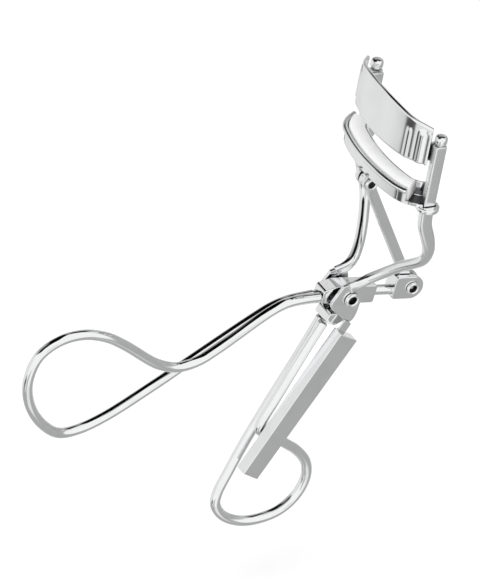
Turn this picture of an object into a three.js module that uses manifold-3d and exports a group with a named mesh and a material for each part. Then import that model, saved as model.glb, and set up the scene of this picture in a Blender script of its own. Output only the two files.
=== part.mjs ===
// Eyelash curler: a squeeze tool with two wire handles, a lever linkage and a pair of curved jaws.
// Units are millimetres and +Z is up, along the two guide rails. +X runs along the main rivet towards the
// near side, +Y points to the eye and the handles reach back towards -Y. Everything is drawn from the middle
// of the main rivet, and the last step moves the tool so that its bounding box is centred on the origin.
import * as THREE from "three";
import { mergeVertices } from "three/addons/utils/BufferGeometryUtils.js";
import Module from "manifold-3d";

const wasm = await Module();
wasm.setup();

// Driving dimensions
const WIRE_R = 1.2; // round wire of both handles and of the frame arms
const WIRE_X = 1.35; // from the middle plane to each of the two side-by-side wires
const FIT = 0.3; // air between a piece and the neighbour that holds it
const SNUG = 0.15; // air round a pin that turns, round the pad and behind a rivet head
const BEYOND = 1; // how far a cutting body reaches past what it cuts

const RAIL_X = 16; // guide rails, from the middle plane
const RAIL_Y = 7.6;
const RAIL_WIDE = 1.9; // rail section along X
const RAIL_DEEP = 3; // rail section along Y
const RAIL_CORNER = 0.5;
const RAIL_BOTTOM = 27;
const RAIL_TOP = 48.2;

// Seen from above, each jaw is nearly straight in its middle and turns forward through a tight corner.
const PLATE_BOW = { back: -0.8, middleR: 36, flat: 9.4, cornerR: 10, turn: 42, tail: 2.6 };
const PLATE_THICK = 0.9;
const PLATE_LOW = 43; // lower edge of the fixed upper jaw
const PLATE_HIGH = 55; // top edge at its middle
const PLATE_HIGH_END = 52.4; // top edge beside the rails

const JAW_BOW = { back: 1, middleR: 42.5, flat: 10.5, cornerR: 6, turn: 60, tail: 1.6 };
const PAD_BOW = { ...JAW_BOW, turn: 42, tail: 0 };
const CHANNEL_LOW = 32.2;
const CHANNEL_HIGH = 36.3;
const CHANNEL_WIDE = 5;
const CHANNEL_WALL = 0.5;
const EAR_R = 2.7;
const EAR_LOW = 31.2;
const EAR_HIGH = 32.4;
const WALL_END = 12.6; // beyond this the back wall of the channel is cut down
const WALL_STUB = 0.8; // what is left of it, above the underside
const PAD_HIGH = 36.9;

const LUG_PIN = new THREE.Vector2(0, 30); // Y and Z of the pin under the lower jaw
const LUG_PIN_R = 0.75;
const LUG_R = 1.8;
const LEVER_TILT = THREE.MathUtils.degToRad(-6.5);
const LEVER_HALF = 2; // half of the lever's width along X
const LEVER_BACK = -6.6;
const LEVER_FRONT = 7.4;
const LEVER_HIGH = 4.6;
const LEVER_TAPER = 3.4; // length of the tapered back end, which meets the wires
const HUB_HALF = 2.5;
const HUB_R = 2.5;
const NECK_R = 1.2;
const EYE = new THREE.Vector2(16.9, 1.2); // eye of the lever, along and across the tilted lever
const EYE_PIN_R = 1;
const EYE_R = 2.9;
const EYE_BACK = 4.8; // from the eye to the back of its tab
const WEB = 1.4; // what stays solid at the back of that tab, behind the slot
const FORK_GAP = 0.95; // half of each slot that takes the link

const LINK_HALF = 0.65;
const LINK_R = 1.2;
const LINK_TOP_R = 1.65;
const LINK_END_R = 2.2;
const LINK_PLAY = 0.5; // air round the lug pin in the link, where the closed linkage is opened
const PIN_HEAD_R = 1.6;
const PIN_HEAD = 0.6;

const RIVET_R = 1.5;
const RIVET_HEAD_R = 1.75;
const RIVET_HEAD = 0.8;
const CHEEK_IN = 2.8;
const CHEEK_OUT = 3.7;

const CASE_IN = 2.95; // inner side of the comb case along X
const CASE_OUT = 6.1;
const CASE_LONG = 39.5;
const CASE_DEEP_TOP = 5.3;
const CASE_DEEP_END = 4.5;
const CASE_WALL = 0.5;
const CASE_TOP = new THREE.Vector2(-2.5, -7.6); // Y and Z of its upper back edge
const CASE_TILT = THREE.MathUtils.degToRad(-27.9); // lean from the vertical
const SOCKET_DEEP = 0.2; // each end of the comb pin sits in a blind socket in a side wall
const COMB_HALF = 0.6;
const COMB_PIN_UP = 2.2; // comb pin, above the case's lower end
const COMB_PIN_R = 0.8;
const COMB_EYE_R = 1.5;
const SPINE_BACK = 2.3; // the comb's spine, measured from the back of the case
const SPINE_FRONT = 3.9;
const COMB_TOP = 1.2; // upper end of the comb, below the case's top end
const TOOTH_TIP = 0.75;
const TOOTH_PITCH = 1.3;
const TOOTH_WIDE = 0.65;
const TEETH = 24;

const AROUND = 12; // facets round a wire
const chrome = { color: 0xd9dbde, roughness: 0.12, metalness: 1 };
const silicone = { color: 0xe2e3e2, roughness: 0.55, metalness: 0 };
const plastic = { color: 0x2a2b2d, roughness: 0.45, metalness: 0 };

const tool = new THREE.Group();

// Solids: cut and joined by manifold-3d, then handed back to three.js

function solid(geometry) {
  const bare = geometry.clone();
  bare.deleteAttribute("normal");
  bare.deleteAttribute("uv");
  const merged = mergeVertices(bare, 1e-4);
  return new wasm.Manifold(
    new wasm.Mesh({
      numProp: 3,
      vertProperties: merged.attributes.position.array,
      triVerts: new Uint32Array(merged.index.array),
    }),
  );
}

function geometryOf(body) {
  const mesh = body.getMesh();
  const geometry = new THREE.BufferGeometry();
  geometry.setAttribute("position", new THREE.BufferAttribute(new Float32Array(mesh.vertProperties), 3));
  geometry.setIndex(new THREE.BufferAttribute(new Uint32Array(mesh.triVerts), 1));
  const flat = geometry.toNonIndexed();
  flat.computeVertexNormals();
  return flat;
}

function joined(...bodies) {
  return bodies.reduce((whole, body) => whole.add(body));
}

function add(name, body, look) {
  const mesh = new THREE.Mesh(geometryOf(body), new THREE.MeshStandardMaterial(look));
  mesh.name = name;
  tool.add(mesh);
}

// A shape drawn in Y and Z, made solid from x0 to x1.
function slabX(shape, x0, x1, curveSegments = 10) {
  const made = new THREE.ExtrudeGeometry(shape, { depth: x1 - x0, bevelEnabled: false, curveSegments });
  const yzx = new THREE.Matrix4().makeBasis(
    new THREE.Vector3(0, 1, 0),
    new THREE.Vector3(0, 0, 1),
    new THREE.Vector3(1, 0, 0),
  );
  made.applyMatrix4(yzx).translate(x0, 0, 0);
  return solid(made);
}

// A shape drawn in X and Y, made solid from z0 to z1.
function slabZ(shape, z0, z1, curveSegments = 10) {
  const made = new THREE.ExtrudeGeometry(shape, { depth: z1 - z0, bevelEnabled: false, curveSegments });
  return solid(made.translate(0, 0, z0));
}

function disc(y, z, radius) {
  return new THREE.Shape().absarc(y, z, radius, 0, Math.PI * 2);
}

function roundX(y, z, radius, x0, x1) {
  return slabX(disc(y, z, radius), x0, x1, 10);
}

// Wire bent smoothly through the given points.
function wire(points, steps, radius = WIRE_R) {
  const path = new THREE.CatmullRomCurve3(points.map((p) => new THREE.Vector3(...p)), false, "centripetal");
  const section = new THREE.Shape().absarc(0, 0, radius, 0, Math.PI * 2);
  return solid(
    new THREE.ExtrudeGeometry(section, { steps, extrudePath: path, curveSegments: AROUND / 2, bevelEnabled: false }),
  );
}

// A closed outline in Y and Z from points drawn square, turned about the origin and then moved.
function tilted(points, angle, move = new THREE.Vector2()) {
  const origin = new THREE.Vector2();
  return new THREE.Shape(points.map(([u, v]) => new THREE.Vector2(u, v).rotateAround(origin, angle).add(move)));
}

// A jaw's plan line, set off sideways from its middle line, from the far end to the near end.
function bowLine(bow, offset) {
  const { back, middleR, flat, cornerR, turn, tail } = bow;
  const steps = 8;
  const middle = new THREE.Vector2(0, back + middleR);
  const start = Math.asin(flat / middleR);
  const end = THREE.MathUtils.degToRad(turn);
  const at = (centre, radius, angle) =>
    new THREE.Vector2(centre.x + radius * Math.sin(angle), centre.y - radius * Math.cos(angle));
  const corner = at(middle, middleR - cornerR, start);
  const near = [];
  for (let i = 1; i <= steps; i++) near.push(at(middle, middleR + offset, (start * i) / steps));
  for (let i = 1; i <= steps; i++) near.push(at(corner, cornerR + offset, start + ((end - start) * i) / steps));
  if (tail) near.push(near.at(-1).clone().add(new THREE.Vector2(Math.cos(end), Math.sin(end)).multiplyScalar(tail)));
  const far = near.map((p) => new THREE.Vector2(-p.x, p.y)).reverse();
  return [...far, at(middle, middleR + offset, 0), ...near];
}

// A strip that follows a jaw's plan line between two offsets.
function bowBand(bow, front, rear) {
  return new THREE.Shape([...bowLine(bow, rear), ...bowLine(bow, front).reverse()]);
}

function mirrored(body) {
  return body.mirror([1, 0, 0]);
}

// Frame: two side rails, each a flat guide rail, a swept arm and a cheek for the main rivet

function railSection(spare) {
  const wide = RAIL_WIDE / 2 + spare;
  const deep = RAIL_DEEP / 2 + spare;
  const corners = [
    [wide - RAIL_CORNER, -deep],
    [wide, RAIL_CORNER - deep],
    [wide, deep - RAIL_CORNER],
    [wide - RAIL_CORNER, deep],
    [RAIL_CORNER - wide, deep],
    [-wide, deep - RAIL_CORNER],
    [-wide, RAIL_CORNER - deep],
    [RAIL_CORNER - wide, -deep],
  ];
  return new THREE.Shape(corners.map(([x, y]) => new THREE.Vector2(RAIL_X + x, RAIL_Y + y)));
}

function cheek() {
  const outline = new THREE.Shape()
    .moveTo(-2.5, 3.6)
    .lineTo(1, 4.6)
    .quadraticCurveTo(2.6, 3.4, 2.7, -0.6)
    .lineTo(2.3, -3.6)
    .quadraticCurveTo(1.6, -6.6, 0.2, -6.3)
    .lineTo(-3.9, -2.8)
    .quadraticCurveTo(-5.3, -1.6, -4.8, -0.2);
  outline.holes.push(new THREE.Path().absarc(0, 0, RIVET_R + FIT, 0, Math.PI * 2));
  return slabX(outline, CHEEK_IN, CHEEK_OUT, 6);
}

function sideRail() {
  const middle = (CHEEK_IN + CHEEK_OUT) / 2 + 0.2;
  const arm = wire(
    [
      [RAIL_X, RAIL_Y, RAIL_BOTTOM + 3],
      [RAIL_X, 7.9, RAIL_BOTTOM],
      [15.9, 8.9, 23.2],
      [15.2, 9.8, 19],
      [13.4, 9.8, 15.5],
      [9, 7.7, 11.1],
      [5.7, 5.4, 7.4],
      [middle + 0.3, 3.1, 4.9],
      [middle, 1.1, 3.6],
      [middle, -1, 2.9],
    ],
    40,
  );
  return joined(slabZ(railSection(0), RAIL_BOTTOM, RAIL_TOP), arm, cheek());
}

function railCap() {
  const profile = [
    [0, 0],
    [0.95, 0],
    [0.95, 0.4],
    [1.45, 0.7],
    [1.45, 1.9],
    [1.1, 2.4],
    [0, 2.6],
  ].map(([r, z]) => new THREE.Vector2(r, z));
  const cap = new THREE.LatheGeometry(profile, 16);
  cap.rotateX(Math.PI / 2).translate(RAIL_X, RAIL_Y, RAIL_TOP + FIT);
  return solid(cap);
}

// Jaws

function upperPlate() {
  const strip = slabZ(bowBand(PLATE_BOW, -PLATE_THICK / 2, PLATE_THICK / 2), PLATE_LOW, PLATE_HIGH);
  const reach = RAIL_X + 4;
  const crown = new THREE.Shape()
    .moveTo(-reach, PLATE_LOW - BEYOND)
    .lineTo(reach, PLATE_LOW - BEYOND)
    .lineTo(RAIL_X, PLATE_HIGH_END)
    .quadraticCurveTo(0, 2 * PLATE_HIGH - PLATE_HIGH_END, -RAIL_X, PLATE_HIGH_END);
  const wall = new THREE.ExtrudeGeometry(crown, { depth: 2 * reach, bevelEnabled: false, curveSegments: 16 });
  wall.rotateX(Math.PI / 2).translate(0, reach, 0);
  return joined(strip.intersect(solid(wall)), plateTab(), mirrored(plateTab()));
}

// The plate ends in a tab that lies along the inner side of the rail.
function plateTab() {
  const inner = RAIL_X - RAIL_WIDE / 2 - SNUG;
  const back = RAIL_Y - RAIL_DEEP / 2 - 2.4;
  const front = RAIL_Y + RAIL_DEEP / 2 - RAIL_CORNER;
  const outline = [
    [inner - PLATE_THICK, back],
    [inner, back],
    [inner, front],
    [inner - PLATE_THICK, front],
  ].map(([x, y]) => new THREE.Vector2(x, y));
  return slabZ(new THREE.Shape(outline), PLATE_LOW + 0.6, RAIL_TOP);
}

function lowerJaw() {
  const half = CHANNEL_WIDE / 2;
  const inside = half - CHANNEL_WALL;
  const block = slabZ(bowBand(JAW_BOW, -half, half), CHANNEL_LOW, CHANNEL_HIGH);
  const open = { ...JAW_BOW, tail: JAW_BOW.tail + BEYOND };
  const groove = slabZ(bowBand(open, -inside, inside), CHANNEL_LOW + CHANNEL_WALL, CHANNEL_HIGH + BEYOND);
  const ear = slabZ(disc(RAIL_X, RAIL_Y, EAR_R), EAR_LOW, EAR_HIGH, 12);
  const railHole = slabZ(railSection(FIT), EAR_LOW - BEYOND, CHANNEL_HIGH + BEYOND);
  const cutters = [groove, wallEnd(), mirrored(wallEnd()), railHole, mirrored(railHole)];
  return cutters.reduce((whole, cutter) => whole.subtract(cutter), joined(block, ear, mirrored(ear), jawLug()));
}

// What is cut away where the back wall of the channel stops short of the rail.
function wallEnd() {
  const beside = (offset) => bowLine(JAW_BOW, offset).filter((point) => point.x > WALL_END);
  const inner = beside(CHANNEL_WIDE / 2 - CHANNEL_WALL - SNUG);
  const outer = beside(CHANNEL_WIDE / 2 + BEYOND);
  const start = new THREE.Vector2(WALL_END, JAW_BOW.back - CHANNEL_WIDE / 2 - BEYOND);
  const plan = new THREE.Shape([start, ...outer, ...inner.reverse()]);
  return slabZ(plan, CHANNEL_LOW + WALL_STUB, CHANNEL_HIGH + BEYOND);
}

// Two leaves under the channel that hold the upper end of the link.
function jawLug() {
  const top = CHANNEL_LOW + CHANNEL_WALL / 2;
  const outline = new THREE.Shape()
    .moveTo(LUG_PIN.x + LUG_R, top)
    .lineTo(LUG_PIN.x - LUG_R, top)
    .lineTo(LUG_PIN.x - LUG_R, LUG_PIN.y)
    .absarc(LUG_PIN.x, LUG_PIN.y, LUG_R, Math.PI, Math.PI * 2);
  const leaf = slabX(outline, FORK_GAP, LEVER_HALF);
  const bore = roundX(LUG_PIN.x, LUG_PIN.y, LUG_PIN_R + SNUG, -LEVER_HALF - BEYOND, LEVER_HALF + BEYOND);
  return joined(leaf, mirrored(leaf)).subtract(bore);
}

function pad() {
  const half = CHANNEL_WIDE / 2 - CHANNEL_WALL - SNUG;
  return slabZ(bowBand(PAD_BOW, -half, half), CHANNEL_LOW + CHANNEL_WALL + SNUG, PAD_HIGH);
}

// Linkage: the finger handle's lever, the link up to the lower jaw and their rivets

function leverPoint(u, v) {
  return new THREE.Vector2(u, v).rotateAround(new THREE.Vector2(), LEVER_TILT);
}

function lever() {
  const half = LEVER_HIGH / 2;
  const side = [
    [LEVER_BACK, -half + 0.4],
    [LEVER_BACK + LEVER_TAPER, -half],
    [LEVER_FRONT, -half],
    [LEVER_FRONT, half],
    [LEVER_BACK + LEVER_TAPER, half],
    [LEVER_BACK, half - 1.1],
  ];
  const bar = slabX(tilted(side, LEVER_TILT), -LEVER_HALF, LEVER_HALF);
  const hub = roundX(0, 0, HUB_R, -HUB_HALF, HUB_HALF);
  const neckFrom = leverPoint(LEVER_FRONT - 1, -0.2);
  const neckTo = leverPoint(EYE.x - EYE_BACK + 1, -0.2);
  const neck = wire([[0, neckFrom.x, neckFrom.y], [0, neckTo.x, neckTo.y]], 1, NECK_R);
  const eye = leverPoint(EYE.x, EYE.y);
  const tabSide = [
    [EYE.x, EYE.y - EYE_R],
    [EYE.x, EYE.y + EYE_R],
    [EYE.x - EYE_BACK + 1, EYE.y + EYE_R],
    [EYE.x - EYE_BACK, EYE.y + EYE_R - 1],
    [EYE.x - EYE_BACK, EYE.y - EYE_R + 0.8],
    [EYE.x - EYE_BACK + 0.8, EYE.y - EYE_R],
  ];
  const tab = slabX(tilted(tabSide, LEVER_TILT), -LEVER_HALF, LEVER_HALF);
  const ears = tab.add(roundX(eye.x, eye.y, EYE_R, -LEVER_HALF, LEVER_HALF));
  const slot = slabX(tilted(forkSlot(), LEVER_TILT), -FORK_GAP, FORK_GAP);
  const eyeBore = roundX(eye.x, eye.y, EYE_PIN_R + SNUG, -LEVER_HALF - BEYOND, LEVER_HALF + BEYOND);
  const rivetBore = roundX(0, 0, RIVET_R + SNUG, -HUB_HALF - BEYOND, HUB_HALF + BEYOND);
  return joined(bar, hub, neck, ears).subtract(slot).subtract(eyeBore).subtract(rivetBore);
}

// The slot that takes the link. Its back leans away, so that the link can swing.
function forkSlot() {
  const front = EYE.x + EYE_R + BEYOND;
  const low = EYE.y - EYE_R - BEYOND;
  const high = EYE.y + EYE_R + BEYOND;
  const web = EYE.x - EYE_BACK + WEB;
  return [[front, low], [front, high], [web - 2, high], [web, EYE.y], [web, low]];
}

function link() {
  const eye = leverPoint(EYE.x, EYE.y);
  const along = eye.clone().sub(LUG_PIN);
  const across = new THREE.Vector2(-along.y, along.x).setLength(LINK_R);
  const corners = [
    LUG_PIN.clone().add(across),
    LUG_PIN.clone().sub(across),
    eye.clone().sub(across),
    eye.clone().add(across),
  ];
  const strip = slabX(new THREE.Shape(corners), -LINK_HALF, LINK_HALF);
  const topEnd = roundX(LUG_PIN.x, LUG_PIN.y, LINK_TOP_R, -LINK_HALF, LINK_HALF);
  const lowEnd = roundX(eye.x, eye.y, LINK_END_R, -LINK_HALF, LINK_HALF);
  const topBore = roundX(LUG_PIN.x, LUG_PIN.y, LUG_PIN_R + LINK_PLAY, -LEVER_HALF, LEVER_HALF);
  const lowBore = roundX(eye.x, eye.y, EYE_PIN_R + SNUG, -LEVER_HALF, LEVER_HALF);
  return joined(strip, topEnd, lowEnd).subtract(topBore).subtract(lowBore);
}

// A headed rivet along X, its heads clear of the two faces that it joins.
function rivet(y, z, radius, half, headR, head) {
  const shank = roundX(y, z, radius, -half - head / 2, half + head / 2);
  const nearHead = roundX(y, z, headR, half, half + head);
  return joined(shank, nearHead, mirrored(nearHead));
}

// Handles: one wire each, doubled back into a loop

function fingerLoop() {
  const near = WIRE_X;
  return wire(
    [
      [near, LEVER_BACK - FIT, 0.1],
      [near, -12, 0.2],
      [near, -16, -0.3],
      [near, -20, -2.2],
      [near, -31, -9.7],
      [near, -36, -12.5],
      [near, -41, -13.3],
      [near, -46.5, -11.6],
      [1.1, -56, -5.2],
      [0.9, -61, -2.4],
      [0.6, -67, -0.9],
      [0.4, -73, -1.8],
      [0.1, -77.5, -5.5],
      [0, -79, -12],
      [-0.3, -77, -19],
      [-0.7, -72.5, -25],
      [-1.1, -67.5, -28.4],
      [-near, -62.5, -28.4],
      [-near, -56, -26],
      [-near, -45, -19.6],
      [-near, -36, -13.9],
      [-near, -22, -5.1],
      [-near, -17.5, -2.6],
      [-near, -13.5, -1.4],
      [-near, LEVER_BACK - FIT, -0.9],
    ],
    96,
  );
}

function thumbLoop() {
  const near = WIRE_X;
  return wire(
    [
      [near, -4.7, -6.9],
      [near, -7.4, -12.7],
      [near, -13.4, -26.8],
      [near, -15.6, -32],
      [near, -15.9, -34.4],
      [near, -14, -35.6],
      [1.2, -8.4, -39.2],
      [1, -4.3, -42.2],
      [0.8, -1.2, -46],
      [0.4, -0.2, -50.5],
      [0, -1.6, -55.5],
      [0, -5.2, -58.9],
      [0, -10.2, -60.4],
      [0, -15.4, -60.2],
      [-0.2, -20.3, -57.9],
      [-0.4, -22.6, -54.4],
      [-0.6, -22.3, -51.5],
      [-1, -20.3, -46.6],
      [-near, -17.6, -40],
      [-near, -13, -29],
      [-near, -6.4, -14.2],
      [-near, -3.6, -7.3],
    ],
    84,
  );
}

// The wire ends of the thumb loop are brazed to this block, which sits between the two cheeks below the lever.
function yokeBlock() {
  const outline = [
    [-5.2, -6.2],
    [-3.8, -4.1],
    [0.6, -4.1],
    [1, -6],
    [-2.4, -7.5],
  ].map(([y, z]) => new THREE.Vector2(y, z));
  return slabX(new THREE.Shape(outline), SNUG - CHEEK_IN, CHEEK_IN - SNUG);
}

// Comb case: a tapering channel beside the thumb loop, closed at its top and open towards the front

// A point in the case's own frame: across from its back to its front, and down from its top end.
function casePoint(across, down) {
  return new THREE.Vector2(across, -down).rotateAround(new THREE.Vector2(), CASE_TILT).add(CASE_TOP);
}

function combPinPoint() {
  return casePoint(CASE_DEEP_END / 2, CASE_LONG - COMB_PIN_UP);
}

function combCase() {
  const outer = [[0, 0], [0, -CASE_LONG], [CASE_DEEP_END, -CASE_LONG], [CASE_DEEP_TOP, 0]];
  const body = slabX(tilted(outer, CASE_TILT, CASE_TOP), CASE_IN, CASE_OUT);
  const inner = [
    [CASE_WALL, -CASE_WALL],
    [CASE_WALL, -CASE_LONG - BEYOND],
    [CASE_DEEP_TOP + BEYOND, -CASE_LONG - BEYOND],
    [CASE_DEEP_TOP + BEYOND, -CASE_WALL],
  ];
  const room = slabX(tilted(inner, CASE_TILT, CASE_TOP), CASE_IN + CASE_WALL, CASE_OUT - CASE_WALL);
  const pinAt = combPinPoint();
  const socket = roundX(
    pinAt.x,
    pinAt.y,
    COMB_PIN_R + SNUG,
    CASE_IN + CASE_WALL - SOCKET_DEEP,
    CASE_OUT - CASE_WALL + SOCKET_DEEP,
  );
  return joined(body.subtract(room), caseTab()).subtract(socket);
}

// The tab that carries the case, standing up from its top end against the outside of the near cheek.
function caseTab() {
  const back = 0.1;
  const front = 2.4;
  const low = -CASE_WALL;
  const high = 2.8;
  const outline = [[back, high], [back, low], [front, low], [front, high]];
  return slabX(tilted(outline, CASE_TILT, CASE_TOP), CHEEK_OUT + SNUG, CHEEK_OUT + SNUG + CASE_WALL);
}

function comb() {
  const outline = [[SPINE_FRONT, -COMB_TOP], [SPINE_BACK, -COMB_TOP]];
  for (let i = 0; i < TEETH; i++) {
    const down = -COMB_TOP - TOOTH_WIDE - i * TOOTH_PITCH;
    outline.push([SPINE_BACK, down], [TOOTH_TIP, down], [TOOTH_TIP, down - TOOTH_WIDE], [SPINE_BACK, down - TOOTH_WIDE]);
  }
  const end = COMB_PIN_UP - CASE_LONG;
  outline.push([SPINE_BACK, end], [SPINE_FRONT, end]);
  const middle = (CASE_IN + CASE_OUT) / 2;
  const blade = slabX(tilted(outline, CASE_TILT, CASE_TOP), middle - COMB_HALF, middle + COMB_HALF);
  const at = combPinPoint();
  const eye = roundX(at.x, at.y, COMB_EYE_R, middle - COMB_HALF, middle + COMB_HALF);
  const bore = roundX(at.x, at.y, COMB_PIN_R + SNUG, CASE_IN, CASE_OUT);
  return joined(blade, eye).subtract(bore);
}

function combPin() {
  const at = combPinPoint();
  const inset = CASE_WALL - SOCKET_DEEP + 0.05;
  return roundX(at.x, at.y, COMB_PIN_R, CASE_IN + inset, CASE_OUT - inset);
}

add("near_side_rail", sideRail(), chrome);
add("far_side_rail", mirrored(sideRail()), chrome);
add("near_rail_cap", railCap(), chrome);
add("far_rail_cap", mirrored(railCap()), chrome);
add("upper_plate", upperPlate(), chrome);
add("lower_jaw", lowerJaw(), chrome);
add("pad", pad(), silicone);
add("lever", lever(), chrome);
add("link", link(), chrome);
add("main_rivet", rivet(0, 0, RIVET_R, CHEEK_OUT + SNUG, RIVET_HEAD_R, RIVET_HEAD), chrome);
add("lug_rivet", rivet(LUG_PIN.x, LUG_PIN.y, LUG_PIN_R, LEVER_HALF + SNUG, PIN_HEAD_R, PIN_HEAD), chrome);
const eyeAt = leverPoint(EYE.x, EYE.y);
add("link_rivet", rivet(eyeAt.x, eyeAt.y, EYE_PIN_R, LEVER_HALF + SNUG, PIN_HEAD_R, PIN_HEAD), chrome);
add("finger_loop", fingerLoop(), chrome);
add("thumb_loop", thumbLoop(), chrome);
add("yoke_block", yokeBlock(), chrome);
add("comb_case", combCase(), chrome);
add("comb_pin", combPin(), chrome);
add("comb", comb(), plastic);

const middle = new THREE.Box3().setFromObject(tool).getCenter(new THREE.Vector3());
tool.position.copy(middle).negate();

const part = new THREE.Group();
part.name = "eyelash_curler";
part.add(tool);

export default part;
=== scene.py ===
"""Eyelash curler: the visual model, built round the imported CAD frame.

Shapes are drawn in millimetres from the middle of the main rivet, with +X along the rivet to the near side,
+Y to the eye and +Z up the guide rails. finished() puts them in the row frame.
"""

import math

import bmesh
import bpy
from mathutils import Matrix, Vector


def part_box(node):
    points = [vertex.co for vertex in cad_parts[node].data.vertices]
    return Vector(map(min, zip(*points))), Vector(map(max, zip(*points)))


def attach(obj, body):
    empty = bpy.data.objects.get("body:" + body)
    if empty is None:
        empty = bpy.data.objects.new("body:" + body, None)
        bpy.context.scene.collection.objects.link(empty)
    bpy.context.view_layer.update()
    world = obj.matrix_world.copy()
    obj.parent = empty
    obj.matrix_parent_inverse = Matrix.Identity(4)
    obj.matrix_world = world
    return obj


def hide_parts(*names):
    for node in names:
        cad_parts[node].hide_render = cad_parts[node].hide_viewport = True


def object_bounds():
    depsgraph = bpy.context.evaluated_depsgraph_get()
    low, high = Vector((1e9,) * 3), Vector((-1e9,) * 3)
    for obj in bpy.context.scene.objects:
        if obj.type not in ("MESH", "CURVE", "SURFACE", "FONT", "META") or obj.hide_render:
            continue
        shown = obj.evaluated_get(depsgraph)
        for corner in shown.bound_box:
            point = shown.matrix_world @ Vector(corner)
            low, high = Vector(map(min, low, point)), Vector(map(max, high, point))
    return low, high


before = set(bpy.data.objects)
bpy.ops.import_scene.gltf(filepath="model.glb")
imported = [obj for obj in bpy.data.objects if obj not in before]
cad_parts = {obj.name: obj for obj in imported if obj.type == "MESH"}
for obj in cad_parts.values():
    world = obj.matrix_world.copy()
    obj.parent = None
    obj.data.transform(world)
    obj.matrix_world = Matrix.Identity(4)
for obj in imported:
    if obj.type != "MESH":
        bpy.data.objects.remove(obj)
cad_low, cad_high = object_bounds()

MM = 0.001
RIVET_MIDDLE = sum(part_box("main_rivet"), Vector()) / 2

# Sizes in millimetres, mostly shared with the CAD part
WIRE_R = 1.2
WIRE_X = 1.35
CLEAR = 0.15  # the usual gap between two parts

RAIL_X = 16
RAIL_Y = 7.6
RAIL_WIDE = 1.9
RAIL_DEEP = 3
RAIL_BOTTOM = 27
RAIL_TOP = 48.2
NEAR_RAIL_BACK = 1.05  # how much further back the near rail stands than the far one
CAP_NECK_R = 0.98
CAP_HEAD_R = 1.46
CHEEK_IN = 2.8
CHEEK_OUT = 3.7

# A jaw seen from above: back, radius and half length of its middle, corner radius and turn, straight tail
JAW_BOW = (1, 42.5, 10.5, 6, 60, 1.6)
PAD_BOW = (1, 42.5, 10.5, 6, 60, 0.5)
PLATE_BOW = (-0.8, 36, 9.4, 10, 42, 2.6)

PLATE_HALF = 0.45
PLATE_LOW = 43
PLATE_HIGH = 55
PLATE_HIGH_END = 52.4  # the top edge drops towards the rails
# Flutes beside each rail: place along the plate, half width, depth, height of the top end
FLUTES = ((11.4, 0.9, 0.13, 51.5), (14.7, 1.3, 0.4, 52), (16.4, 0.6, 0.2, 52))

CHANNEL_LOW = 32.2
CHANNEL_HIGH = 36.3
CHANNEL_WIDE = 5
CHANNEL_WALL = 0.5
CHANNEL_BEAD_R = 0.62
# The rear wall and the pad run right up to the far rail, and stop here on the near side
WALL_NEAR_END = 12.6
PAD_NEAR_END = 13
WALL_STUB = 0.8
PAD_HIGH = 36.9
PAD_CROWN = 0.55
EAR_R = 2.7
EAR_LOW = 31.2
EAR_HIGH = 32.4
LUG_PIN = (0, 30)
LUG_R = 1.8

LEVER_TILT = math.radians(-6.5)
LEVER_HALF = 2
LEVER_BACK = -6.6
LEVER_FRONT = 7.4
LEVER_HIGH = 4.6
LEVER_TAPER = 3.4
HUB_R = 2.05
HUB_HALF = 2.5
NECK_R = 1.2
EYE = (16.9, 1.2)
EYE_R = 2.9
EYE_BACK = 4.8
EYE_WEB = 1.4
FORK_GAP = 0.95
LINK_HALF = 0.65
LINK_R = 1.2

PIVOT_R = 1.5
EYE_PIN_R = 1
LUG_PIN_R = 0.75

CASE_TOP = (-2.5, -7.6)
CASE_TILT = math.radians(-27.9)
CASE_LONG = 39.5
CASE_DEEP_TOP = 5.3
CASE_DEEP_END = 4.5
CASE_IN = 2.95
CASE_OUT = 6.1
CASE_WALL = 0.5
COMB_HALF = 0.6
COMB_PIN_R = 0.8
COMB_PIN_UP = 2.2


# Mesh tools

def finished(name, mesh, material, body, *nodes, slot="chrome", sharp=32, level=True):
    """Makes a piece of a mesh that is drawn in millimetres. It rides on a body and stands for CAD nodes.

    Edges sharper than the given degrees stay crisp. Level keeps large faces flat beside rounded edges.
    """
    mesh.transform(Matrix.Translation(RIVET_MIDDLE) @ Matrix.Scale(MM, 4))
    mesh.materials.clear()
    mesh.materials.append(material)
    mesh.shade_smooth()
    mesh.set_sharp_from_angle(angle=math.radians(sharp))
    piece = bpy.data.objects.new(name, mesh)
    bpy.context.scene.collection.objects.link(piece)
    if level:
        normals = piece.modifiers.new("Level faces", "WEIGHTED_NORMAL")
        normals.keep_sharp = True
        normals.weight = 100
    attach(piece, body)
    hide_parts(*nodes)
    return piece


def paint_shade(piece, inside):
    """Paints shade on the faces of a recess by giving them a dark chrome."""
    piece.data.materials.append(PAINTED_SHADE_CHROME)
    for face in piece.data.polygons:
        if inside(face):
            face.material_index = 1


def mesh_of(verts, faces):
    """A mesh of points and faces, with its faces turned outwards."""
    mesh = bpy.data.meshes.new("shape")
    mesh.from_pydata([tuple(v) for v in verts], [], faces)
    work = bmesh.new()
    work.from_mesh(mesh)
    bmesh.ops.recalc_face_normals(work, faces=work.faces)
    work.to_mesh(mesh)
    work.free()
    return mesh


def mirrored(mesh):
    """The same shape on the far side."""
    other = mesh.copy()
    other.transform(Matrix.Scale(-1, 4, (1, 0, 0)))
    other.flip_normals()
    return other


def applied(holder):
    """The mesh of a throw-away object once its modifiers have run."""
    bpy.context.view_layer.update()
    graph = bpy.context.evaluated_depsgraph_get()
    mesh = bpy.data.meshes.new_from_object(holder.evaluated_get(graph))
    bpy.data.objects.remove(holder)
    return mesh


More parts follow.
